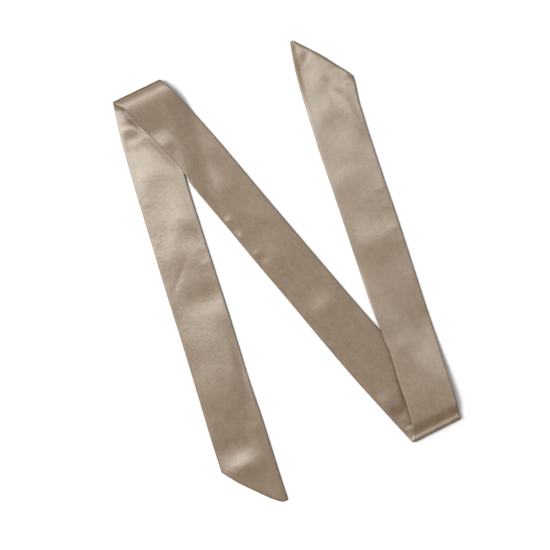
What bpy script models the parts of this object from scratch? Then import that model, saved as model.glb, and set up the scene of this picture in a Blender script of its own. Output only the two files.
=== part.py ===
"""Hair scarf: a long narrow satin tube, laid flat and turned over twice, so that it lies as an N.

The tube is one strip of satin, folded lengthwise and sewn along its own right-hand edge, with
both ends sewn shut on a slant. Three stretches show, and each is a solid here:
tail_stretch lies lowest on the left, cross_stretch turns over at the first fold and crosses
on top of the tail, and head_stretch turns over at the second fold and crosses on top of that.

Each stretch is a hollow flattened tube, lofted through sections that run from its left-hand to its
right-hand edge. A section's place comes from the stretch's middle line and its table of edges.
"""

import math
from collections import namedtuple

import bmesh
import bpy
from mathutils import Vector

# Sizes below are in millimetres, and the mesh is in metres.
MM = 0.001

# Cloth
WALL = 1.0
HOLLOW = 0.3
THICK = 2 * WALL + HOLLOW
EDGE_HEIGHT = 0.42 * THICK
EDGE_ROUND_UNDER = 0.9
EDGE_ROUND_OVER = 1.8
HOLLOW_SHOULDER = 3.0
EDGE_EASE = 12.0

# Clearances between stretches: end to end at a fold, and one lying on another
END_GAP = 0.3
LAY_GAP = 0.5

# Sections round a soft fold
LOOP_STEPS = 10

# A stretch that lies on another comes down to the table past the other's edge
DROP_STARTS = 1.5
DROP_LENGTH = 24.0

# Loft
SECTION_STEP = 11.5
ROW_POINTS = 8
INNER_ROW_POINTS = 6

# Sewn ends: distance in from the end and share of the thickness there, the solid cloth past
# that, and the length in which the bow of the cut fades out
END_ROUND_STEPS = ((0.0, 0.15), (0.5, 0.66), (2.0, 1.0))
HOLLOW_STOPS = 1.5
BOW_FADES_IN = 60.0

SATIN_COLOUR = (0.355, 0.285, 0.225, 1.0)
SATIN_ROUGHNESS = 0.38

Line = namedtuple("Line", "start end left_side")
Edge = namedtuple("Edge", "along left right")
Lead = namedtuple("Lead", "along lead")
Cut = namedtuple("Cut", "share bow")
Puff = namedtuple("Puff", "along across length width turn height")
Fold = namedtuple("Fold", "left right reach rise settles_in left_in right_in left_out right_out")

# Middle lines on the table. left_side is +1 where the scarf's own left-hand edge lies to the
# right of its travel, which is where it lies back side up.
TAIL_LINE = Line((-32.2, -204.9), (-142.6, 171.3), -1)
CROSS_LINE = Line((-142.6, 171.3), (143.0, -151.5), 1)
HEAD_LINE = Line((143.0, -151.5), (34.1, 200.9), -1)

# How far the edges lie from the middle line
TAIL_EDGES = (
    Edge(-22, 25.0, 28.3),
    Edge(0, 25.2, 27.6),
    Edge(20, 25.4, 27.2),
    Edge(56, 26.2, 26.6),
    Edge(104, 26.4, 24.7),
    Edge(152, 26.8, 24.3),
    Edge(200, 27.7, 23.2),
    Edge(248, 28.0, 22.0),
    Edge(296, 28.4, 21.1),
    Edge(344, 28.2, 21.6),
    Edge(371, 26.9, 23.2),
    Edge(389, 25.5, 24.0),
)
CROSS_EDGES = (
    Edge(2, 20.9, 23.0),
    Edge(15, 21.3, 25.3),
    Edge(32, 19.8, 26.6),
    Edge(56, 18.9, 26.9),
    Edge(81, 17.9, 26.9),
    Edge(104, 20.4, 26.5),
    Edge(152, 21.7, 25.2),
    Edge(200, 23.3, 24.2),
    Edge(248, 24.3, 23.3),
    Edge(296, 25.7, 22.6),
    Edge(345, 26.5, 22.4),
    Edge(380, 26.1, 22.8),
    Edge(405, 25.8, 23.3),
    Edge(431, 24.4, 24.0),
)
HEAD_EDGES = (
    Edge(3, 22.5, 25.2),
    Edge(12, 20.9, 25.5),
    Edge(28, 20.5, 25.9),
    Edge(52, 21.3, 25.9),
    Edge(75, 20.9, 25.7),
    Edge(100, 22.8, 25.5),
    Edge(116, 24.0, 25.2),
    Edge(152, 25.3, 24.7),
    Edge(200, 26.3, 24.1),
    Edge(248, 27.4, 22.7),
    Edge(296, 28.6, 21.9),
    Edge(320, 28.6, 21.9),
    Edge(342, 28.6, 23.6),
    Edge(368, 27.5, 23.5),
    Edge(395, 24.5, 23.3),
)

# How far a section's right-hand end runs ahead of its left-hand end: with the slant of the cut
# at the scarf's ends, with the fold line at the folds, and square across between them
TAIL_LEADS = (Lead(-1, -43.0), Lead(32, -22.0), Lead(70, 0.0), Lead(330, 0.0), Lead(381.1, 8.4))
CROSS_LEADS = (Lead(11.7, 13.1), Lead(75, 0.0), Lead(350, 0.0), Lead(415.9, 13.0))
HEAD_LEADS = (Lead(15.0, 7.9), Lead(70, 0.0), Lead(300, 0.0), Lead(338, -25.0), Lead(370.3, -48.5))

# The sewn ends: how far the edge bows out past the straight cut, by share of the way across
TAIL_CUT = (Cut(0, 0), Cut(0.25, 4.1), Cut(0.5, 5.4), Cut(0.72, 6.2), Cut(0.88, 5.0), Cut(1, 0))
HEAD_CUT = (Cut(0, 0), Cut(0.07, 4.0), Cut(0.5, 4.6), Cut(0.76, 2.6), Cut(0.9, 1.9), Cut(1, 0))

# The two folds: the ends of the outermost line, half the length and half the height of the loop
# that the middle of the cloth makes, the length in which the cloth comes down after it, and how
# far along the line the two edges slip between it and the loop's lower start, and its top
FOLD_1 = Fold((-166.0, 160.6), (-120.5, 182.6), 10.0, 3.4, 34.0, 2.9, 2.4, 6.9, 4.8)
FOLD_2 = Fold((120.1, -163.9), (165.9, -140.8), 14.0, 2.8, 90.0, 4.3, 4.5, 7.2, 3.3)

# The largest soft swells of the upper layer: across is from the middle line to the scarf's
# right-hand side, length is half its extent, width is half its extent the other way
TAIL_PUFFS = (
    Puff(19, -2, 17, 9, 83, 1.3),
    Puff(122, 2, 20, 34, 84, 1.1),
    Puff(228, 4, 18, 15, 78, 0.6),
    Puff(259, 18, 12, 11, 76, 1.0),
    Puff(312, -8, 18, 12, 84, 0.4),
    Puff(334, -2, 24, 46, 86, 0.8),
)
CROSS_PUFFS = (
    Puff(36, 8, 22, 13, 10, 0.8),
    Puff(76, 14, 42, 9, 10, 0.9),
    Puff(128, -6, 28, 14, -14, 0.7),
    Puff(207, -4, 16, 13, 84, 0.8),
    Puff(277, 0, 18, 14, 82, 1.1),
    Puff(330, 4, 24, 12, 14, 0.8),
)
HEAD_PUFFS = (
    Puff(118, -2, 20, 14, 85, 0.6),
    Puff(190, 0, 20, 13, 86, 0.7),
    Puff(254, -8, 18, 12, 82, 0.45),
    Puff(310, 12, 26, 8, -12, 0.8),
    Puff(324, -9, 18, 14, 74, 0.6),
    Puff(356, -4, 20, 10, 40, 0.9),
)


def ease(share):
    """Smooth step from 0 to 1, flat at both ends."""
    share = min(max(share, 0.0), 1.0)
    return share * share * (3 - 2 * share)


def mix(first, second, share):
    return first + (second - first) * share


def smooth_value(rows, place, column):
    """Value of a column at a place between rows, on a smooth curve that never overshoots them."""
    keys = [row[0] for row in rows]
    values = [getattr(row, column) for row in rows]
    slopes = [(values[i + 1] - values[i]) / (keys[i + 1] - keys[i]) for i in range(len(rows) - 1)]
    if place <= keys[0]:
        return values[0]
    if place >= keys[-1]:
        return values[-1]

    def tangent(i):
        if i == 0 or i == len(rows) - 1:
            return slopes[min(i, len(slopes) - 1)]
        before, after = slopes[i - 1], slopes[i]
        if before * after <= 0:
            return 0.0
        return 2 * before * after / (before + after)

    i = max(k for k in range(len(keys) - 1) if keys[k] <= place)
    span = keys[i + 1] - keys[i]
    t = (place - keys[i]) / span
    rise = ease(t)
    lead_in = t * (1 - t) ** 2 * span * tangent(i)
    lead_out = t * t * (t - 1) * span * tangent(i + 1)
    return mix(values[i], values[i + 1], rise) + lead_in + lead_out


class Stretch:
    """One stretch of the scarf on the table: its middle line, edges, leads and swells."""

    def __init__(self, line, edges, leads, puffs):
        self.start = Vector(line.start)
        self.travel = (Vector(line.end) - self.start).normalized()
        right_of_travel = Vector((self.travel.y, -self.travel.x))
        self.to_right = right_of_travel * -line.left_side
        self.edges = edges
        self.leads = leads
        self.puffs = puffs

    def point(self, along, across):
        return self.start + self.travel * along + self.to_right * across

    def place_of(self, spot):
        """How far along the middle line a spot lies, and how far towards the right-hand edge."""
        offset = Vector((spot[0], spot[1])) - self.start
        return offset.dot(self.travel), offset.dot(self.to_right)

    def past_right(self, spot):
        along, across = self.place_of(spot)
        return across - smooth_value(self.edges, along, "right")

    def past_left(self, spot):
        along, across = self.place_of(spot)
        return -across - smooth_value(self.edges, along, "left")

    def section_ends(self, along):
        lead = smooth_value(self.leads, along, "lead")
        left_along = along - lead / 2
        right_along = along + lead / 2
        left = self.point(left_along, -smooth_value(self.edges, left_along, "left"))
        right = self.point(right_along, smooth_value(self.edges, right_along, "right"))
        return left, right

    def swell(self, spot):
        along, across = self.place_of(spot)
        total = 0.0
        for puff in self.puffs:
            turn = math.radians(puff.turn)
            ahead = along - puff.along
            aside = across - puff.across
            long_way = (ahead * math.cos(turn) + aside * math.sin(turn)) / puff.length
            short_way = (aside * math.cos(turn) - ahead * math.sin(turn)) / puff.width
            total += puff.height * math.exp(-(long_way ** 2) - short_way ** 2)
        return total


TAIL = Stretch(TAIL_LINE, TAIL_EDGES, TAIL_LEADS, TAIL_PUFFS)
CROSS = Stretch(CROSS_LINE, CROSS_EDGES, CROSS_LEADS, CROSS_PUFFS)
HEAD = Stretch(HEAD_LINE, HEAD_EDGES, HEAD_LEADS, HEAD_PUFFS)


class Loop:
    """A soft fold: the cloth rises from the table, turns over and comes to lie on itself."""

    def __init__(self, fold):
        self.left = Vector(fold.left)
        self.right = Vector(fold.right)
        self.fold = fold
        self.line = (self.right - self.left).normalized()
        self.outward = Vector((-self.line.y, self.line.x))
        if self.outward.dot(self.left) < 0:
            self.outward.negate()
        self.top = 2 * fold.rise

    def inward(self, spot):
        return (self.left - Vector((spot[0], spot[1]))).dot(self.outward)

    def settled(self, spot):
        """0 at the top of the loop, 1 where the cloth has come down to what it lies on."""
        return ease((self.inward(spot) - self.fold.reach - THICK / 2) / self.fold.settles_in)

    def foot(self):
        """Ends of the last section of the stretch that comes to the fold from below."""
        left, right, _, _ = self.section(0.0)
        back = self.outward * END_GAP
        return left.to_2d() - back, right.to_2d() - back

    def section(self, turned):
        """Ends of the middle of the cloth, its upper side's direction, and the angle's cosine."""
        sine, cosine = math.sin(turned), math.cos(turned)
        inward = THICK / 2 + self.fold.reach * (1 - sine)
        if cosine > 0:
            slip_left, slip_right = -self.fold.left_in, -self.fold.right_in
        else:
            slip_left, slip_right = self.fold.left_out, self.fold.right_out
        height = THICK / 2 + self.fold.rise * (1 - cosine)
        left = self.left - self.outward * inward + self.line * slip_left * (1 - sine)
        right = self.right - self.outward * inward + self.line * slip_right * (1 - sine)
        upper = self.outward.to_3d() * (sine * self.fold.rise)
        upper -= Vector((0, 0, cosine * self.fold.reach))
        return left.to_3d() + Vector((0, 0, height)), right.to_3d() + Vector((0, 0, height)), \
            upper.normalized(), cosine


LOOP_1 = Loop(FOLD_1)
LOOP_2 = Loop(FOLD_2)


def rests_on(stretch, spot):
    """Height of the cloth's underside where it lies on a stretch or comes down past its edge."""
    drop = ease((stretch.past_right(spot) - DROP_STARTS) / DROP_LENGTH)
    return (THICK + LAY_GAP) * (1 - drop)


def tail_lift(spot):
    return 0.0


def cross_lift(spot):
    return mix(LOOP_1.top, rests_on(TAIL, spot), LOOP_1.settled(spot))


def head_lift(spot):
    return mix(LOOP_2.top, rests_on(CROSS, spot), LOOP_2.settled(spot))


def tail_swell(spot):
    return TAIL.swell(spot) * ease(CROSS.past_left(spot) / EDGE_EASE)


def cross_swell(spot):
    return CROSS.swell(spot) * ease(HEAD.past_left(spot) / EDGE_EASE) * LOOP_1.settled(spot)


def head_swell(spot):
    return HEAD.swell(spot) * LOOP_2.settled(spot)


def outer_profile(width, lies):
    """Round the cloth's outside from lower left: distance from the left edge and height.

    lies is +1 where the underside is the flat side, and -1 where the upper side is.
    """
    under = mix(EDGE_ROUND_OVER, EDGE_ROUND_UNDER, (1 + lies) / 2)
    over = mix(EDGE_ROUND_UNDER, EDGE_ROUND_OVER, (1 + lies) / 2)
    middle = mix(THICK - EDGE_HEIGHT, EDGE_HEIGHT, (1 + lies) / 2)
    half_turn = math.radians(45)
    right_side = [(under * (1 - math.sin(half_turn)), middle * (1 - math.cos(half_turn))), (0.0, middle)]
    for angle in (math.radians(32), math.radians(62)):
        right_side.append((over * (1 - math.cos(angle)), mix(middle, THICK, math.sin(angle))))
    bottom = [(mix(under, width - under, i / (ROW_POINTS - 1)), 0.0) for i in range(ROW_POINTS)]
    top = [(mix(width - over, over, i / (ROW_POINTS - 1)), THICK) for i in range(ROW_POINTS)]
    return bottom + [(width - x, h) for x, h in right_side] + top + list(reversed(right_side))


def inner_profile(width):
    """Round the hollow between the two layers, from lower left."""
    shoulder = HOLLOW_SHOULDER
    last = INNER_ROW_POINTS - 1
    bottom = [(mix(shoulder, width - shoulder, i / last), WALL) for i in range(INNER_ROW_POINTS)]
    top = [(mix(width - shoulder, shoulder, i / last), WALL + HOLLOW) for i in range(INNER_ROW_POINTS)]
    middle = WALL + HOLLOW / 2
    return bottom + [(width - 1.3 * WALL, middle)] + top + [(1.3 * WALL, middle)]


def laid_ring(profile, left, right, lift, swell, bow=None, squeeze=1.0):
    """A section's points where the cloth lies on the table or on another stretch."""
    width = (right - left).length
    ring = []
    for x, h in profile:
        share = x / width
        spot = left.lerp(right, share)
        if bow:
            spot = spot + bow(share)
        from_edge = ease(min(x, width - x) / EDGE_EASE)
        raised = swell(spot) * from_edge if h > THICK / 2 else 0.0
        height = EDGE_HEIGHT + (h - EDGE_HEIGHT + raised) * squeeze
        ring.append(Vector((spot.x, spot.y, lift(spot) + height)))
    return ring


def loop_ring(profile, left, right, upper):
    """A section's points where the cloth turns over in a fold."""
    width = (right - left).length
    return [left.lerp(right, x / width) + upper * (h - THICK / 2) for x, h in profile]


def loop_sections(loop):
    sections = []
    for step in range(LOOP_STEPS + 1):
        left, right, upper, cosine = loop.section(math.pi * step / LOOP_STEPS)
        width = (right - left).length
        outer = loop_ring(outer_profile(width, -cosine), left, right, upper)
        inner = loop_ring(inner_profile(width), left, right, upper)
        sections.append((outer, inner))
    return sections


def laid_section(left, right, lift, swell, bow=None):
    width = (right - left).length
    outer = laid_ring(outer_profile(width, 1), left, right, lift, swell, bow)
    inner = laid_ring(inner_profile(width), left, right, lift, swell, bow)
    return outer, inner


def laid_sections(stretch, first, last, lift, swell, bow_at=None):
    """Sections from one station on the middle line to another, evenly spaced."""
    count = max(2, round(abs(last - first) / SECTION_STEP))
    sections = []
    for step in range(count + 1):
        along = mix(first, last, step / count)
        left, right = stretch.section_ends(along)
        bow = bow_at(along) if bow_at else None
        sections.append(laid_section(left, right, lift, swell, bow))
    return sections


def end_bow(stretch, cut, end, inner):
    """The bow of a sewn end, which fades out along the stretch from the end to inner."""
    outward = stretch.travel if end > inner else -stretch.travel

    def bow_at(along):
        strength = ease((along - inner) / (end - inner))
        return lambda share: outward * smooth_value(cut, share, "bow") * strength

    return bow_at


def end_sections(stretch, end, inward, lift, swell, bow_at):
    """The rounded, sewn end, from its outermost ring in, and where the laid sections start."""
    sections = []
    for distance, squeeze in END_ROUND_STEPS:
        along = end + inward * distance
        left, right = stretch.section_ends(along)
        profile = outer_profile((right - left).length, 1)
        ring = laid_ring(profile, left, right, lift, swell, bow_at(along), squeeze)
        sections.append((ring, None))
    return sections, end + inward * (END_ROUND_STEPS[-1][0] + HOLLOW_STOPS)


def cap(bm, ring, row):
    """Close a ring with a ladder of faces between its lower and upper rows."""
    side = (len(ring) - 2 * row) // 2
    lower = ring[:row]
    upper = list(reversed(ring[row + side:2 * row + side]))
    faces = [[lower[i], lower[i + 1], upper[i + 1], upper[i]] for i in range(row - 1)]
    faces.append([lower[-1]] + ring[row:row + side] + [upper[-1]])
    faces.append([upper[0]] + ring[2 * row + side:] + [lower[0]])
    for face in faces:
        bm.faces.new(face)


def skin(bm, rings):
    made = [[bm.verts.new(point * MM) for point in ring] for ring in rings]
    count = len(made[0])
    for near, far in zip(made, made[1:]):
        for i in range(count):
            k = (i + 1) % count
            bm.faces.new((near[i], near[k], far[k], far[i]))
    return made


def join_rims(bm, outer, inner):
    """Close an open end with a band of triangles between two rings that start at one corner."""
    a = b = 0
    while a < len(outer) or b < len(inner):
        from_outer = outer[a % len(outer)]
        from_inner = inner[b % len(inner)]
        if (a + 1) / len(outer) <= (b + 1) / len(inner):
            a += 1
            bm.faces.new((from_outer, outer[a % len(outer)], from_inner))
        else:
            b += 1
            bm.faces.new((from_outer, inner[b % len(inner)], from_inner))


def satin():
    material = bpy.data.materials.new("satin")
    material.use_nodes = True
    shader = material.node_tree.nodes["Principled BSDF"]
    shader.inputs["Base Color"].default_value = SATIN_COLOUR
    shader.inputs["Roughness"].default_value = SATIN_ROUGHNESS
    shader.inputs["Metallic"].default_value = 0.0
    return material


def make_tube(name, sections, sewn_start, sewn_end, material, collection):
    """Loft one stretch: outer skin, hollow, and a sewn cap or an open rim at each end."""
    bm = bmesh.new()
    outer = skin(bm, [section[0] for section in sections])
    inner = skin(bm, [section[1] for section in sections if section[1]])
    for at_end, sewn in ((0, sewn_start), (-1, sewn_end)):
        if sewn:
            cap(bm, outer[at_end], ROW_POINTS)
            cap(bm, inner[at_end], INNER_ROW_POINTS)
        else:
            join_rims(bm, outer[at_end], inner[at_end])
    bmesh.ops.recalc_face_normals(bm, faces=bm.faces[:])
    mesh = bpy.data.meshes.new(name)
    bm.to_mesh(mesh)
    bm.free()
    mesh.shade_smooth()
    mesh.set_sharp_from_angle(angle=math.radians(50))
    mesh.materials.append(material)
    tube = bpy.data.objects.new(name, mesh)
    collection.objects.link(tube)
    return tube


def tail_sections():
    end = TAIL_LEADS[0].along
    bow_at = end_bow(TAIL, TAIL_CUT, end, end + BOW_FADES_IN)
    sewn, first = end_sections(TAIL, end, 1, tail_lift, tail_swell, bow_at)
    last = TAIL_LEADS[-1].along - SECTION_STEP / 2
    laid = laid_sections(TAIL, first, last, tail_lift, tail_swell, bow_at)
    return sewn + laid + [laid_section(*LOOP_1.foot(), tail_lift, tail_swell)]


def cross_sections():
    first = CROSS_LEADS[0].along + SECTION_STEP / 2
    last = CROSS_LEADS[-1].along - SECTION_STEP / 2
    laid = laid_sections(CROSS, first, last, cross_lift, cross_swell)
    return loop_sections(LOOP_1) + laid + [laid_section(*LOOP_2.foot(), cross_lift, cross_swell)]


def head_sections():
    end = HEAD_LEADS[-1].along
    bow_at = end_bow(HEAD, HEAD_CUT, end, end - BOW_FADES_IN)
    sewn, last = end_sections(HEAD, end, -1, head_lift, head_swell, bow_at)
    first = HEAD_LEADS[0].along + SECTION_STEP / 2
    laid = laid_sections(HEAD, first, last, head_lift, head_swell, bow_at)
    return loop_sections(LOOP_2) + laid + list(reversed(sewn))


def main():
    for old in list(bpy.data.objects):
        bpy.data.objects.remove(old, do_unlink=True)
    collection = bpy.data.collections.new("hair_scarf")
    bpy.context.scene.collection.children.link(collection)
    material = satin()
    make_tube("tail_stretch", tail_sections(), True, False, material, collection)
    make_tube("cross_stretch", cross_sections(), False, False, material, collection)
    make_tube("head_stretch", head_sections(), False, True, material, collection)


main()
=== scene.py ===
"""Satin hair scarf, laid flat in an N on a pale table, in soft light mostly from the left.

The scarf is one long piece of satin. It is cut flat, folded round into a tube, sewn along its
right-hand edge and across both slanted ends, and laid down with two soft turned folds.
Sizes are in millimetres until a point is placed, and metres from there on.
"""

import math
from collections import namedtuple

import bpy
import numpy as np
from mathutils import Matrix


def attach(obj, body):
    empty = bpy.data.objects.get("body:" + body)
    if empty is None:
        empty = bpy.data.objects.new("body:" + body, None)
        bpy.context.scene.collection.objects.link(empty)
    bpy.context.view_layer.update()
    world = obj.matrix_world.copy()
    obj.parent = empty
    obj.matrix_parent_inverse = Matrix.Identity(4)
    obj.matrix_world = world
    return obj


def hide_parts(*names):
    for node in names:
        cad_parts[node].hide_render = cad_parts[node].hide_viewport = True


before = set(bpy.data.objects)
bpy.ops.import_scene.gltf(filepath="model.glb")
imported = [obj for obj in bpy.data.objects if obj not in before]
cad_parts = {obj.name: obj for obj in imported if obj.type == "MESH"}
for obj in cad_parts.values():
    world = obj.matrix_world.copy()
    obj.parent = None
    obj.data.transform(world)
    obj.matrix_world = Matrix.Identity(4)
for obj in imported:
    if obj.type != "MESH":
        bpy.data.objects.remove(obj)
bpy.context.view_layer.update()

MM = 0.001

# The satin itself, and the cut before it is folded and sewn
CLOTH = 0.22
CUT_WIDTH = 100.0

# Cloth as laid: the flattened tube, its rounded edges and the height of their outermost line
THICK = 2.3
THINNEST = 1.3
EDGE_HEIGHT = 0.42 * THICK
EDGE_ROUND_UNDER = 0.9
EDGE_ROUND_OVER = 1.8

# How far from an edge the swells and the creases reach their full height
PUFF_EASE = 12.0
CREASE_EASE = 4.5

# The seam draws the right-hand edge in, over this share of the edge's rise
SEAM_DEPTH = 0.45
SEAM_SHARE = 0.35

# The sewn ends: the length that is rounded, the places of its rows, and how far in the bow reaches
END_ROUND = 3.0
END_STEPS = (0.0, 0.06, 0.25, 0.55, 0.95, 1.5, 2.2, END_ROUND)
BOW_FADES_IN = 60.0

# The way a stretch comes down past the edge of the one that it lies on, and presses that one down
LAY_GAP = 0.5
DROP_STARTS = 1.5
DROP_LENGTH = 24.0
PRESS_DEPTH = 0.7
PRESS_EASE = 5.0

# The length in which the edges come to meet a fold, and the soft trough along it, behind its rim
MEETS_FOLD_IN = 22.0
PINCH_INWARD = 6.3
PINCH_WIDE = 5.0

# Points that lie closer than this are sewn into one
SEWN_WITHIN = 0.01

# How finely the cloth is divided: along each stretch, round each fold, across one layer, and
# how many of those last divisions go to each rounded edge
TAIL_ROWS = 196
CROSS_ROWS = 206
HEAD_ROWS = 188
FOLD_ROWS = 20
LAYER_COLUMNS = 37
EDGE_COLUMNS = 7

Line = namedtuple("Line", "start end left_side")
Edge = namedtuple("Edge", "along left right")
Lead = namedtuple("Lead", "along lead")
Cut = namedtuple("Cut", "share bow")
Swell = namedtuple("Swell", "along across length width turn height")
Fold = namedtuple(
    "Fold", "left right reach rise settles_in left_in right_in left_out right_out pinch")
Grain = namedtuple("Grain", "across along detail fine_share")
Relief = namedtuple("Relief", "grain strength depth")
Glow = namedtuple("Glow", "rise bright")
Light = namedtuple("Light", "azimuth elevation tall wide power")

# Middle lines on the table. left_side is +1 where the scarf lies back side up.
TAIL_LINE = Line((-32.2, -204.9), (-142.6, 171.3), -1)
CROSS_LINE = Line((-142.6, 171.3), (143.0, -151.5), 1)
HEAD_LINE = Line((143.0, -151.5), (34.1, 200.9), -1)

# How far the edges lie from the middle line
TAIL_EDGES = (
    Edge(-22, 25.0, 28.3),
    Edge(0, 25.2, 27.6),
    Edge(20, 25.4, 27.2),
    Edge(56, 26.2, 26.6),
    Edge(104, 26.4, 24.7),
    Edge(152, 26.8, 24.3),
    Edge(200, 27.7, 23.2),
    Edge(248, 28.0, 22.0),
    Edge(296, 28.4, 21.1),
    Edge(344, 28.2, 21.6),
    Edge(371, 26.9, 23.2),
    Edge(389, 25.5, 24.0),
)
CROSS_EDGES = (
    Edge(2, 20.9, 23.0),
    Edge(15, 21.3, 25.3),
    Edge(32, 19.8, 26.6),
    Edge(56, 18.9, 26.9),
    Edge(81, 17.9, 26.9),
    Edge(104, 20.4, 26.5),
    Edge(152, 21.7, 25.2),
    Edge(200, 23.3, 24.2),
    Edge(248, 24.3, 23.3),
    Edge(296, 25.7, 22.6),
    Edge(345, 26.5, 22.4),
    Edge(380, 26.1, 22.8),
    Edge(405, 25.8, 23.3),
    Edge(431, 24.4, 24.0),
)
HEAD_EDGES = (
    Edge(3, 22.5, 25.2),
    Edge(12, 20.9, 25.5),
    Edge(28, 20.5, 25.9),
    Edge(52, 21.3, 25.9),
    Edge(75, 20.9, 25.7),
    Edge(100, 22.8, 25.5),
    Edge(116, 24.0, 25.2),
    Edge(152, 25.3, 24.7),
    Edge(200, 26.3, 24.1),
    Edge(248, 27.4, 22.7),
    Edge(296, 28.6, 21.9),
    Edge(320, 28.6, 21.9),
    Edge(342, 28.6, 23.6),
    Edge(368, 27.5, 23.5),
    Edge(395, 24.5, 23.3),
)

# How far the right-hand edge runs ahead of the left-hand one on a line across the cloth
TAIL_LEADS = (Lead(-1, -43.0), Lead(32, -22.0), Lead(70, 0.0), Lead(330, 0.0), Lead(381.1, 8.4))
CROSS_LEADS = (Lead(11.7, 13.1), Lead(75, 0.0), Lead(350, 0.0), Lead(415.9, 13.0))
HEAD_LEADS = (Lead(15.0, 7.9), Lead(70, 0.0), Lead(300, 0.0), Lead(338, -25.0), Lead(370.3, -48.5))

# The sewn ends: how far the edge bows out past the straight cut, by share of the way across
TAIL_CUT = (Cut(0, 0), Cut(0.25, 4.1), Cut(0.5, 5.4), Cut(0.72, 6.2), Cut(0.88, 5.0), Cut(1, 0))
HEAD_CUT = (Cut(0, 0), Cut(0.07, 4.0), Cut(0.5, 4.6), Cut(0.76, 2.6), Cut(0.9, 1.9), Cut(1, 0))

# The two folds: the ends of their outermost lines, half the length and half the height of the
# turn, the length in which the cloth comes down after it, how far the edges slip along it, and
# how deep the trough behind the rim is
FOLD_1 = Fold((-166.0, 160.6), (-120.5, 182.6), 10.0, 3.4, 34.0, 2.9, 2.4, 6.9, 4.8, 0.0)
FOLD_2 = Fold((120.1, -163.9), (165.9, -140.8), 14.0, 2.8, 90.0, 4.3, 4.5, 7.2, 3.3, 2.6)

# The largest soft swells of the upper layer, as the solids have them. across is positive towards
# the scarf's right-hand edge, and length lies along turn.
TAIL_PUFFS = (
    Swell(19, -2, 17, 9, 83, 1.3),
    Swell(122, 2, 20, 34, 84, 1.1),
    Swell(228, 4, 18, 15, 78, 0.6),
    Swell(259, 18, 12, 11, 76, 1.0),
    Swell(312, -8, 18, 12, 84, 0.4),
    Swell(334, -2, 24, 46, 86, 0.8),
)
CROSS_PUFFS = (
    Swell(36, 8, 22, 13, 10, 0.8),
    Swell(76, 14, 42, 9, 10, 0.9),
    Swell(128, -6, 28, 14, -14, 0.7),
    Swell(207, -4, 16, 13, 84, 0.8),
    Swell(277, 0, 18, 14, 82, 1.1),
    Swell(330, 4, 24, 12, 14, 0.8),
)
HEAD_PUFFS = (
    Swell(118, -2, 20, 14, 85, 0.6),
    Swell(190, 0, 20, 13, 86, 0.7),
    Swell(254, -8, 18, 12, 82, 0.45),
    Swell(310, 12, 26, 8, -12, 0.8),
    Swell(324, -9, 18, 14, 74, 0.6),
    Swell(356, -4, 20, 10, 40, 0.9),
)

# Finer creases that show: ridges where the height is positive and troughs where it is negative
TAIL_CREASES = (
    Swell(40, -5, 18, 11, 84, -0.9),
    Swell(89, -4, 20, 22, 84, 1.2),
    Swell(52, 16, 5, 5, 60, 0.4),
    Swell(105, 12, 20, 7, 0, 0.4),
    Swell(105, 24, 26, 6.5, 0, -2.0),
    Swell(184, 3, 20, 13, 88, -1.1),
    Swell(211, -11, 20, 2.0, 37, -0.27),
    Swell(253, -2, 34, 8, 24, 0.5),
    Swell(264, -6, 16, 14, 84, 0.35),
    Swell(347, -14, 14, 8, 84, -1.0),
    Swell(361, -18, 9, 6, 84, 0.7),
)
CROSS_CREASES = (
    Swell(56, -14, 8, 7, 90, 0.6),
    Swell(82, 1, 36, 9, -18, -0.6),
    Swell(168, 8, 14, 12, 90, 0.3),
    Swell(276, -2, 18, 13, 82, 0.8),
    Swell(300, 8, 16, 13, 90, 0.3),
    Swell(381, -16, 14, 10, 80, 1.6),
    Swell(403, -16, 14, 9, 80, -1.6),
)
HEAD_CREASES = (
    Swell(86, -6, 16, 10, 80, 0.3),
    Swell(119, -1, 20, 14, 85, -0.4),
    Swell(160, 4, 18, 12, 85, -0.2),
    Swell(306, 14, 22, 4, -14, 0.5),
    Swell(334, 3, 12, 5, -50, 0.4),
    Swell(371, -17, 8, 4, 30, -0.7),
    Swell(381, -19, 5, 3, 40, 0.3),
)

# Small puckers at the edges, where the thread or the crease draws the cloth in
TAIL_PUCKERS = (
    Swell(216, 17, 4, 3, 70, 0.2),
    Swell(231, 18, 4, 3, 110, 0.2),
    Swell(247, -23, 3, 2.5, 80, 0.15),
    Swell(286, -23, 3, 2.5, 100, 0.15),
    Swell(327, -23, 4, 2.5, 80, 0.15),
)
CROSS_PUCKERS = (
    Swell(150, -18, 5, 3, 70, 0.5),
    Swell(160, -19, 5, 3, 80, -0.4),
    Swell(170, -19, 5, 3, 100, 0.6),
    Swell(192, -19, 4, 3, 80, 0.5),
    Swell(199, -17, 5, 3, 70, -0.35),
)
HEAD_PUCKERS = (
    Swell(14, -19, 6, 3, 60, 0.3),
    Swell(196, 18, 4, 3, 80, 0.3),
    Swell(218, 18, 4, 3, 100, 0.2),
    Swell(236, 18, 5, 3, 80, 0.2),
    Swell(343, 18, 7, 3, 55, 0.5),
    Swell(349, 13, 5, 2, 40, -0.3),
    Swell(356, 8, 5, 2, 50, 0.25),
    Swell(362, 1, 6, 2, 45, -0.25),
    Swell(369, -5, 5, 2, 40, 0.25),
    Swell(377, -12, 5, 2, 50, -0.2),
    Swell(384, -17, 5, 2, 45, 0.2),
)

# Shallow hollows of the layer that lies underneath
UNDER_HOLLOWS = (
    Swell(58, 6, 26, 9, 18, 0.4),
    Swell(112, -8, 30, 8, -22, 0.5),
    Swell(171, 7, 22, 10, 40, 0.35),
    Swell(223, -5, 34, 9, 12, 0.5),
    Swell(281, 8, 25, 8, -30, 0.45),
    Swell(338, -4, 22, 10, 24, 0.4),
)

# The satin's gloss, which its floats, running along the cloth, spread across it
SATIN = {
    "Roughness": 0.44,
    "Anisotropic": 0.92,
    "IOR": 1.7,
    "Specular IOR Level": 1.0,
    "Specular Tint": (1.0, 0.972, 0.915, 1.0),
}

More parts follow.
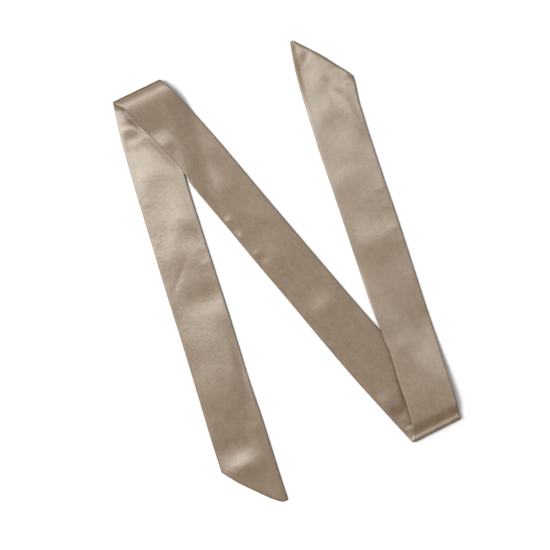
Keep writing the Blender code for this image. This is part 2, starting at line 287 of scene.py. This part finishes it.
# Its two tones of taupe, the grain in which they change, and where in the grain each is reached
DARK_TAUPE = (0.147, 0.0925, 0.043, 1.0)
PALE_TAUPE = (0.208, 0.135, 0.081, 1.0)
TONE_GRAIN = Grain(9.0, 13.0, 3.0, 1.0)
DARK_AT = 0.36
PALE_AT = 0.64

# Its relief: the floats of the weave, the slack between them, and the broad drape
FLOATS = Relief(Grain(0.35, 3.5, 2.0, 0.5), 0.5, 0.02)
SLACK = Relief(Grain(2.5, 3.5, 3.0, 0.5), 1.0, 0.12)
DRAPE = Relief(Grain(26.0, 34.0, 0.0, 0.5), 1.0, 0.9)

# The square table, with its side in metres
TABLE_SIDE = 8.0
TABLE = {
    "Base Color": (0.93, 0.93, 0.93, 1.0),
    "Roughness": 0.9,
    "Specular IOR Level": 0.1,
}

# Camera straight above, framed as in the photograph
CAMERA_SPOT = (-11.27, -3.92)
CAMERA_HEIGHT = 1500.0
FRAME_WIDTH = 525.25
SENSOR = 36.0

# Soft panels: where each hangs in degrees, its size and distance in metres, and its power in watts
LIGHT_DISTANCE = 3.2
LIGHT_TINT = (1.0, 0.985, 0.97)
WINDOW = Light(177.0, 55.0, 1.7, 0.7, 76.0)
LEFT_PANEL = Light(221.5, 55.0, 0.5, 2.1, 12.0)
RIGHT_PANEL = Light(15.0, 62.0, 0.5, 1.6, 13.0)

# How bright the plain backdrop behind the table is
BACKDROP = 0.82

# How bright the room is, which way its bright side lies, and how much brighter that side is
SKY_STRENGTH = 0.8
WINDOW_SIDE = (-0.85, 0.53, 0.0)
WINDOW_SIDE_SHARE = 0.85

# How the room's brightness changes, from the table's level (0) up to straight overhead (1)
SKY = (
    Glow(0.0, 0.02),
    Glow(0.2, 0.1),
    Glow(0.42, 1.0),
    Glow(0.68, 1.0),
    Glow(0.86, 0.2),
    Glow(1.0, 0.04),
)


def ease(share):
    """Smooth step from 0 to 1, flat at both ends."""
    share = np.clip(share, 0.0, 1.0)
    return share * share * (3 - 2 * share)


def mix(first, second, share):
    return first + (second - first) * share


def smooth_value(rows, column, place):
    """A table's column at places between its rows, on a curve that never overshoots them."""
    keys = np.array([row[0] for row in rows], float)
    values = np.array([getattr(row, column) for row in rows], float)
    slopes = np.diff(values) / np.diff(keys)
    before, after = slopes[:-1], slopes[1:]
    same_way = before * after > 0
    total = np.where(same_way, before + after, 1.0)
    bends = np.where(same_way, 2 * before * after / total, 0.0)
    tangents = np.concatenate(([slopes[0]], bends, [slopes[-1]]))
    place = np.clip(place, keys[0], keys[-1])
    i = np.clip(np.searchsorted(keys, place, side="right") - 1, 0, len(keys) - 2)
    span = keys[i + 1] - keys[i]
    t = (place - keys[i]) / span
    lead_in = t * (1 - t) ** 2 * span * tangents[i]
    lead_out = t * t * (t - 1) * span * tangents[i + 1]
    return mix(values[i], values[i + 1], ease(t)) + lead_in + lead_out


def swell_height(swells, along, across):
    """Sum of soft round-topped swells at places on a stretch."""
    total = np.zeros(np.shape(along))
    for swell in swells:
        turn = math.radians(swell.turn)
        ahead = along - swell.along
        aside = across - swell.across
        long_way = (ahead * math.cos(turn) + aside * math.sin(turn)) / swell.length
        short_way = (aside * math.cos(turn) - ahead * math.sin(turn)) / swell.width
        total = total + swell.height * np.exp(-(long_way ** 2) - short_way ** 2)
    return total


class Stretch:
    """One straight stretch of the scarf on the table."""

    def __init__(self, line, edges, leads, puffs, creases):
        self.start = np.array(line.start, float)
        travel = np.array(line.end, float) - self.start
        self.travel = travel / np.linalg.norm(travel)
        right_of_travel = np.array((self.travel[1], -self.travel[0]))
        self.to_right = right_of_travel * -line.left_side
        self.edges = edges
        self.leads = leads
        self.puffs = puffs
        self.creases = creases

    def place_of(self, spots):
        """How far along the middle line spots lie, and how far towards the right-hand edge."""
        offset = spots - self.start
        return offset @ self.travel, offset @ self.to_right

    def past_right(self, spots):
        along, across = self.place_of(spots)
        return across - smooth_value(self.edges, "right", along)

    def past_left(self, spots):
        along, across = self.place_of(spots)
        return -across - smooth_value(self.edges, "left", along)

    def edge_points(self, along):
        """Left-hand and right-hand ends of the lines across the cloth."""
        lead = smooth_value(self.leads, "lead", along)
        ends = []
        for side, share in (("left", -0.5), ("right", 0.5)):
            there = along + lead * share
            across = smooth_value(self.edges, side, there) * (2 * share)
            ends.append(self.start + np.outer(there, self.travel) + np.outer(across, self.to_right))
        return ends


TAIL = Stretch(TAIL_LINE, TAIL_EDGES, TAIL_LEADS, TAIL_PUFFS, TAIL_CREASES + TAIL_PUCKERS)
CROSS = Stretch(CROSS_LINE, CROSS_EDGES, CROSS_LEADS, CROSS_PUFFS, CROSS_CREASES + CROSS_PUCKERS)
HEAD = Stretch(HEAD_LINE, HEAD_EDGES, HEAD_LEADS, HEAD_PUFFS, HEAD_CREASES + HEAD_PUCKERS)


class Turn:
    """A soft fold: the cloth rises from the table, turns over and comes to lie on itself."""

    def __init__(self, fold):
        self.left = np.array(fold.left, float)
        self.right = np.array(fold.right, float)
        self.fold = fold
        line = self.right - self.left
        self.line = line / np.linalg.norm(line)
        self.outward = np.array((-self.line[1], self.line[0]))
        if self.outward @ self.left < 0:
            self.outward = -self.outward
        self.top = 2 * fold.rise

    def settled(self, spots):
        """0 at the top of the fold, 1 where the cloth has come down to what it lies on."""
        inward = (self.left - spots) @ self.outward
        return ease((inward - self.fold.reach - THICK / 2) / self.fold.settles_in)

    def edge_points(self, turned):
        """Ends on the table plan and height of the middle of the cloth, part of the way round."""
        sine = math.sin(turned)
        inward = THICK / 2 + self.fold.reach * (1 - sine)
        if math.cos(turned) > 0:
            slips = (-self.fold.left_in, -self.fold.right_in)
        else:
            slips = (self.fold.left_out, self.fold.right_out)
        left = self.left - self.outward * inward + self.line * slips[0] * (1 - sine)
        right = self.right - self.outward * inward + self.line * slips[1] * (1 - sine)
        return left, right, THICK / 2 + self.fold.rise * (1 - math.cos(turned))

    def outer_way(self, turned):
        """Direction of the outer side of the cloth, part of the way round."""
        across_fold = self.outward * math.sin(turned) * self.fold.rise
        way = np.append(across_fold, -math.cos(turned) * self.fold.reach)
        return way / np.linalg.norm(way)


TURN_1 = Turn(FOLD_1)
TURN_2 = Turn(FOLD_2)


def rests_on(stretch, spots):
    """Height of the underside where it lies on a stretch or comes down past its edge."""
    drop = ease((stretch.past_right(spots) - DROP_STARTS) / DROP_LENGTH)
    return (THICK + LAY_GAP) * (1 - drop)


def tail_lift(spots):
    return np.zeros(spots.shape[:-1])


def cross_lift(spots):
    return mix(TURN_1.top, rests_on(TAIL, spots), TURN_1.settled(spots))


def head_lift(spots):
    return mix(TURN_2.top, rests_on(CROSS, spots), TURN_2.settled(spots))


def tail_free(spots, within):
    """1 where nothing lies on the cloth, and 0 where the next stretch does."""
    return ease(CROSS.past_left(spots) / within)


def cross_free(spots, within):
    return ease(HEAD.past_left(spots) / within)


def head_free(spots, within):
    return np.ones(spots.shape[:-1])


def tail_settled(spots):
    return np.ones(spots.shape[:-1])


def across_shares():
    """Angles round each edge and shares of the flat part between them, for one layer."""
    angles = np.linspace(0, math.pi / 2, EDGE_COLUMNS + 1)
    flat = np.linspace(0, 1, LAYER_COLUMNS - 2 * EDGE_COLUMNS + 1)
    return angles, flat


def layer_profile(width, rounding, rise):
    """Distance from the left-hand edge and height over the edge line, across one layer."""
    angles, flat = across_shares()
    width = np.asarray(width, float)[..., None]
    rounding = np.asarray(rounding, float)[..., None]
    rise = np.asarray(rise, float)[..., None]
    edge_x = rounding * (1 - np.cos(angles)) + 0 * width
    edge_h = rise * np.sin(angles) + 0 * edge_x
    middle_x = rounding + (width - 2 * rounding) * flat
    middle_h = rise + 0 * middle_x
    x = np.concatenate([edge_x[..., :-1], middle_x, (width - edge_x)[..., -2::-1]], -1)
    h = np.concatenate([edge_h[..., :-1], middle_h, edge_h[..., -2::-1]], -1)
    return x, h


def seam_draw(x, width, h, rise):
    """How far the seam draws the right-hand edge in."""
    near = np.clip(1 - h / (SEAM_SHARE * rise), 0, 1) * (x > width / 2)
    return SEAM_DEPTH * near


def laid_rows(stretch, along, start_meets, end_meets, lift, free, settled, cut):
    """Points of the upper and the lower layer of a stretch that lies flat."""
    left, right = stretch.edge_points(along)
    for target, fade in ((start_meets, along - along[0]), (end_meets, along[-1] - along)):
        if target is not None:
            near = (1 - ease(fade / MEETS_FOLD_IN))[:, None]
            at = 0 if target is start_meets else -1
            left = left + (target[0] - left[at]) * near
            right = right + (target[1] - right[at]) * near
    width = np.linalg.norm(right - left, axis=-1)
    squeeze = np.ones(len(along))
    if cut is not None:
        table, end, outward = cut
        from_end = np.abs(along - end)
        squeeze = np.sqrt(1 - (1 - np.clip(from_end / END_ROUND, 0, 1)) ** 2)
        strength = ease(1 - from_end / BOW_FADES_IN)
    layers = []
    for upper in (True, False):
        rounding = EDGE_ROUND_OVER if upper else EDGE_ROUND_UNDER
        rise = THICK - EDGE_HEIGHT if upper else EDGE_HEIGHT
        x, h = layer_profile(width, rounding, rise)
        x = x - seam_draw(x, width[:, None], h, rise)
        share = x / width[:, None]
        spots = left[:, None] + (right - left)[:, None] * share[..., None]
        if cut is not None:
            bow = smooth_value(table, "bow", share) * strength[:, None]
            spots = spots + stretch.travel * outward * bow[..., None]
        spot_along, spot_across = stretch.place_of(spots)
        from_edge = np.minimum(x, width[:, None] - x)
        puff_ease = ease(from_edge / PUFF_EASE)
        crease_ease = ease(from_edge / CREASE_EASE)
        if upper:
            puffs = swell_height(stretch.puffs, spot_along, spot_across) * puff_ease
            creases = swell_height(stretch.creases, spot_along, spot_across) * crease_ease
            raised = puffs * free(spots, PUFF_EASE) + creases * free(spots, CREASE_EASE)
            pressed = PRESS_DEPTH * (1 - free(spots, PRESS_EASE)) * crease_ease
            raised = raised * settled(spots) - pressed
            level = np.maximum(h + raised, np.minimum(h, THINNEST - EDGE_HEIGHT))
            height = EDGE_HEIGHT + level * squeeze[:, None]
        else:
            hollows = swell_height(UNDER_HOLLOWS, spot_along, spot_across) * puff_ease
            height = EDGE_HEIGHT - (h - hollows) * squeeze[:, None]
        z = lift(spots) + height
        layers.append(np.concatenate([spots, z[..., None]], -1))
    return layers


def pinch_depth(turn, spots):
    """How far the top of a fold sinks behind its rim, at spots on the table plan."""
    inward = (turn.left - spots) @ turn.outward
    return turn.fold.pinch * np.exp(-((inward - PINCH_INWARD) / PINCH_WIDE) ** 2)


def turned_rows(turn):
    """Points of the outer and the inner layer where the cloth turns over."""
    outer, inner = [], []
    for turned in np.linspace(0, math.pi, FOLD_ROWS + 2)[1:-1]:
        left, right, height = turn.edge_points(turned)
        way = turn.outer_way(turned)
        over_share = (1 - math.cos(turned)) / 2
        width = np.linalg.norm(right - left)
        middle = mix(THICK - EDGE_HEIGHT, EDGE_HEIGHT, over_share)
        for is_outer, rows in ((True, outer), (False, inner)):
            share_over = over_share if is_outer else 1 - over_share
            rounding = mix(EDGE_ROUND_UNDER, EDGE_ROUND_OVER, share_over)
            rise = THICK - middle if is_outer else middle
            x, h = layer_profile(width, rounding, rise)
            x = x - seam_draw(x, width, h, rise)
            plan = left + (right - left) * (x / width)[:, None]
            level = height - pinch_depth(turn, plan) * max(0.0, -math.cos(turned))
            point = np.column_stack([plan, level])
            from_middle = (middle - THICK / 2) + (h if is_outer else -h)
            rows.append(point + way * from_middle[:, None])
    return np.array(outer), np.array(inner)


def row_places(leads, count, round_first=False, round_last=False):
    """Places of the rows along a stretch, closer together in a rounded, sewn end."""
    first, last = leads[0].along, leads[-1].along
    fine = np.array(END_STEPS)
    if round_first:
        rest = np.linspace(first + END_ROUND, last, count - len(fine) + 2)[1:]
        return np.concatenate([first + fine, rest])
    if round_last:
        rest = np.linspace(first, last - END_ROUND, count - len(fine) + 2)[:-1]
        return np.concatenate([rest, (last - fine)[::-1]])
    return np.linspace(first, last, count + 1)


def scarf_layers():
    """Face and back layer of the whole scarf, row by row from its lower to its upper end."""
    tail_along = row_places(TAIL_LEADS, TAIL_ROWS, round_first=True)
    cross_along = row_places(CROSS_LEADS, CROSS_ROWS)
    head_along = row_places(HEAD_LEADS, HEAD_ROWS, round_last=True)
    tail_cut = (TAIL_CUT, tail_along[0], -1)
    head_cut = (HEAD_CUT, head_along[-1], 1)
    into_1, out_of_1 = TURN_1.edge_points(0.0)[:2], TURN_1.edge_points(math.pi)[:2]
    into_2, out_of_2 = TURN_2.edge_points(0.0)[:2], TURN_2.edge_points(math.pi)[:2]
    tail_up, tail_down = laid_rows(
        TAIL, tail_along, None, into_1, tail_lift, tail_free, tail_settled, tail_cut)
    cross_up, cross_down = laid_rows(
        CROSS, cross_along, out_of_1, into_2, cross_lift, cross_free, TURN_1.settled, None)
    head_up, head_down = laid_rows(
        HEAD, head_along, out_of_2, None, head_lift, head_free, TURN_2.settled, head_cut)
    for turn, layers in ((TURN_1, (cross_up, cross_down)), (TURN_2, (head_up, head_down))):
        for layer in layers:
            layer[..., 2] -= pinch_depth(turn, layer[..., :2])
    outer_1, inner_1 = turned_rows(TURN_1)
    outer_2, inner_2 = turned_rows(TURN_2)
    face = np.concatenate([tail_up, inner_1, cross_down, outer_2, head_up])
    back = np.concatenate([tail_down, outer_1, cross_up, inner_2, head_down])
    return face, back


def cut_places(face, back):
    """Where each point of the two layers lies on the flat cut, in metres."""
    columns = []
    for rounding in (EDGE_ROUND_OVER, EDGE_ROUND_UNDER):
        x, h = layer_profile(CUT_WIDTH / 2, rounding, THICK / 2)
        steps = np.hypot(np.diff(x), np.diff(h))
        columns.append(np.concatenate([[0], np.cumsum(steps)]))
    half = sum(column / column[-1] for column in columns) / 2
    lengths = []
    for side in (0, -1):
        edge = (face[:, side] + back[:, side]) / 2
        steps = np.linalg.norm(np.diff(edge, axis=0), axis=-1)
        lengths.append(np.concatenate([[0], np.cumsum(steps)]))
    start = np.array([TAIL.place_of(face[0, side, :2])[0] for side in (0, -1)])
    along = mix((start[0] + lengths[0])[:, None], (start[1] + lengths[1])[:, None], half)
    across_face = (1 - half) * CUT_WIDTH / 2
    across_back = (1 + half) * CUT_WIDTH / 2
    face_uv = np.stack([np.broadcast_to(across_face, along.shape), along], -1)
    back_uv = np.stack([np.broadcast_to(across_back, along.shape), along], -1)
    return face_uv * MM, back_uv * MM


def round_the_tube(face, back):
    """Columns round the tube, from the seam over the face to the left edge, and back under."""
    return np.concatenate([face[:, ::-1], back[:, 1:]], axis=1)


def deselect_all():
    bpy.ops.object.select_all(action="DESELECT")


def cut_cloth():
    """The flat satin, divided in rows along it and columns across it."""
    deselect_all()
    rows = TAIL_ROWS + CROSS_ROWS + HEAD_ROWS + 2 * FOLD_ROWS + 2
    columns = 2 * LAYER_COLUMNS
    bpy.ops.mesh.primitive_grid_add(
        x_subdivisions=columns, y_subdivisions=rows, size=1.0, location=(0, 0, 0))
    cloth = bpy.context.object
    cloth.name = "scarf_satin"
    cloth.data.name = "scarf_satin"
    return cloth, rows, columns


def lay_cloth(cloth, rows, columns):
    """Fold the flat cloth round into a tube and lay it down in its N."""
    face, back = scarf_layers()
    points = round_the_tube(face, back) * MM
    places = round_the_tube(*cut_places(face, back))
    flat = np.empty(len(cloth.data.vertices) * 3)
    cloth.data.vertices.foreach_get("co", flat)
    flat = flat.reshape(-1, 3)
    # The flat cloth is one unit wide and long, with its middle at the origin
    column = np.rint((flat[:, 0] + 0.5) * columns).astype(int)
    row = np.rint((flat[:, 1] + 0.5) * rows).astype(int)
    corner = np.empty(len(cloth.data.loops), int)
    cloth.data.loops.foreach_get("vertex_index", corner)
    cut = cloth.data.uv_layers[0]
    cut.name = "cut"
    cut.data.foreach_set("uv", places[row[corner], column[corner]].ravel())
    cloth.data.vertices.foreach_set("co", points[row, column].ravel())
    cloth.data.update()


def sew_cloth(cloth):
    """Close the long seam and both ends, turn the right side out and give the cloth a body."""
    deselect_all()
    cloth.select_set(True)
    bpy.context.view_layer.objects.active = cloth
    bpy.ops.object.mode_set(mode="EDIT")
    bpy.ops.mesh.select_all(action="SELECT")
    bpy.ops.mesh.remove_doubles(threshold=SEWN_WITHIN * MM)
    bpy.ops.mesh.select_all(action="SELECT")
    bpy.ops.mesh.normals_make_consistent(inside=False)
    bpy.ops.object.mode_set(mode="OBJECT")
    body = cloth.modifiers.new("cloth body", "SOLIDIFY")
    body.thickness = CLOTH * MM
    body.offset = -1.0
    bpy.ops.object.modifier_apply(modifier=body.name)
    bpy.ops.object.shade_smooth()


def new_material(name, finish):
    """A material whose shader has this finish all over."""
    material = bpy.data.materials.new(name)
    material.use_nodes = True
    shader = material.node_tree.nodes["Principled BSDF"]
    for socket, value in finish.items():
        shader.inputs[socket].default_value = value
    return material, shader


def taupe_satin():
    """Plain polyester satin: long bright floats along the cloth, with a soft sheen across them."""
    material, shader = new_material("taupe satin", SATIN)
    nodes, links = material.node_tree.nodes, material.node_tree.links
    cut = nodes.new("ShaderNodeUVMap")
    cut.uv_map = "cut"
    weft = nodes.new("ShaderNodeTangent")
    weft.direction_type = "UV_MAP"
    weft.uv_map = "cut"
    links.new(weft.outputs["Tangent"], shader.inputs["Tangent"])

    def noise_of(grain):
        """Noise whose grains are so many millimetres across the cloth and along it."""
        place = nodes.new("ShaderNodeMapping")
        place.inputs["Scale"].default_value = (1 / (grain.across * MM), 1 / (grain.along * MM), 1.0)
        links.new(cut.outputs["UV"], place.inputs["Vector"])
        noise = nodes.new("ShaderNodeTexNoise")
        noise.inputs["Scale"].default_value = 1.0
        noise.inputs["Detail"].default_value = grain.detail
        noise.inputs["Roughness"].default_value = grain.fine_share
        links.new(place.outputs["Vector"], noise.inputs["Vector"])
        return noise.outputs["Fac"]

    tone = nodes.new("ShaderNodeValToRGB")
    dark, pale = tone.color_ramp.elements
    dark.position, dark.color = DARK_AT, DARK_TAUPE
    pale.position, pale.color = PALE_AT, PALE_TAUPE
    links.new(noise_of(TONE_GRAIN), tone.inputs["Fac"])
    links.new(tone.outputs["Color"], shader.inputs["Base Color"])

    surface = shader.inputs["Normal"]
    for relief in (DRAPE, SLACK, FLOATS):
        bump = nodes.new("ShaderNodeBump")
        bump.inputs["Strength"].default_value = relief.strength
        bump.inputs["Distance"].default_value = relief.depth * MM
        links.new(noise_of(relief.grain), bump.inputs["Height"])
        links.new(bump.outputs["Normal"], surface)
        surface = bump.inputs["Normal"]
    return material


def pale_table():
    """The table, which neither lights the cloth from below nor mirrors in it."""
    deselect_all()
    bpy.ops.mesh.primitive_plane_add(size=TABLE_SIDE, location=(0, 0, 0))
    table = bpy.context.object
    table.name = "table"
    table.data.materials.append(new_material("pale table", TABLE)[0])
    table.visible_diffuse = False
    table.visible_glossy = False


def soft_sky():
    """A room that glows most half-way up and on the window's side.

    The camera sees a plain pale backdrop in its place.
    """
    world = bpy.data.worlds.new("soft sky")
    world.use_nodes = True
    nodes, links = world.node_tree.nodes, world.node_tree.links
    way = nodes.new("ShaderNodeTexCoord")
    split = nodes.new("ShaderNodeSeparateXYZ")
    links.new(way.outputs["Generated"], split.inputs["Vector"])
    glow = nodes.new("ShaderNodeValToRGB")
    ramp = glow.color_ramp
    ramp.interpolation = "EASE"
    while len(ramp.elements) < len(SKY):
        ramp.elements.new(0.5)
    for element, step in zip(ramp.elements, SKY):
        element.position = step.rise
        element.color = (step.bright, step.bright, step.bright, 1.0)
    links.new(split.outputs["Z"], glow.inputs["Fac"])
    links.new(glow.outputs["Color"], nodes["Background"].inputs["Color"])
    window_side = nodes.new("ShaderNodeMath")
    window_side.operation = "MULTIPLY_ADD"
    window_side.inputs[1].default_value = SKY_STRENGTH * WINDOW_SIDE_SHARE
    window_side.inputs[2].default_value = SKY_STRENGTH
    toward = nodes.new("ShaderNodeVectorMath")
    toward.operation = "DOT_PRODUCT"
    toward.inputs[1].default_value = WINDOW_SIDE
    links.new(way.outputs["Generated"], toward.inputs[0])
    links.new(toward.outputs["Value"], window_side.inputs[0])
    links.new(window_side.outputs["Value"], nodes["Background"].inputs["Strength"])
    backdrop = nodes.new("ShaderNodeBackground")
    backdrop.inputs["Color"].default_value = (BACKDROP, BACKDROP, BACKDROP, 1.0)
    seen = nodes.new("ShaderNodeLightPath")
    behind = nodes.new("ShaderNodeMixShader")
    links.new(seen.outputs["Is Camera Ray"], behind.inputs["Fac"])
    links.new(nodes["Background"].outputs["Background"], behind.inputs[1])
    links.new(backdrop.outputs["Background"], behind.inputs[2])
    links.new(behind.outputs["Shader"], nodes["World Output"].inputs["Surface"])
    bpy.context.scene.world = world


def hang_light(name, light):
    """A soft panel that faces the scarf."""
    azimuth, elevation = math.radians(light.azimuth), math.radians(light.elevation)
    spot = [
        LIGHT_DISTANCE * math.cos(elevation) * math.cos(azimuth),
        LIGHT_DISTANCE * math.cos(elevation) * math.sin(azimuth),
        LIGHT_DISTANCE * math.sin(elevation),
    ]
    deselect_all()
    bpy.ops.object.light_add(
        type="AREA", location=spot, rotation=(0, math.pi / 2 - elevation, azimuth))
    panel = bpy.context.object
    panel.name = name
    panel.data.energy = light.power
    panel.data.shape = "RECTANGLE"
    panel.data.size = light.tall
    panel.data.size_y = light.wide
    panel.data.color = LIGHT_TINT


def set_camera():
    """A camera straight above the scarf, whose frame has the given width on the table."""
    deselect_all()
    spot = (CAMERA_SPOT[0] * MM, CAMERA_SPOT[1] * MM, CAMERA_HEIGHT * MM)
    bpy.ops.object.camera_add(location=spot, rotation=(0, 0, 0))
    camera = bpy.context.object
    camera.data.sensor_width = SENSOR
    camera.data.lens = SENSOR * CAMERA_HEIGHT / FRAME_WIDTH
    bpy.context.scene.camera = camera
    bpy.context.scene.view_settings.view_transform = "Standard"


set_camera()
cloth, rows, columns = cut_cloth()
lay_cloth(cloth, rows, columns)
sew_cloth(cloth)
cloth.data.materials.append(taupe_satin())
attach(cloth, "root")
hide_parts("tail_stretch", "cross_stretch", "head_stretch")
pale_table()
soft_sky()
hang_light("window", WINDOW)
hang_light("low left panel", LEFT_PANEL)
hang_light("right panel", RIGHT_PANEL)
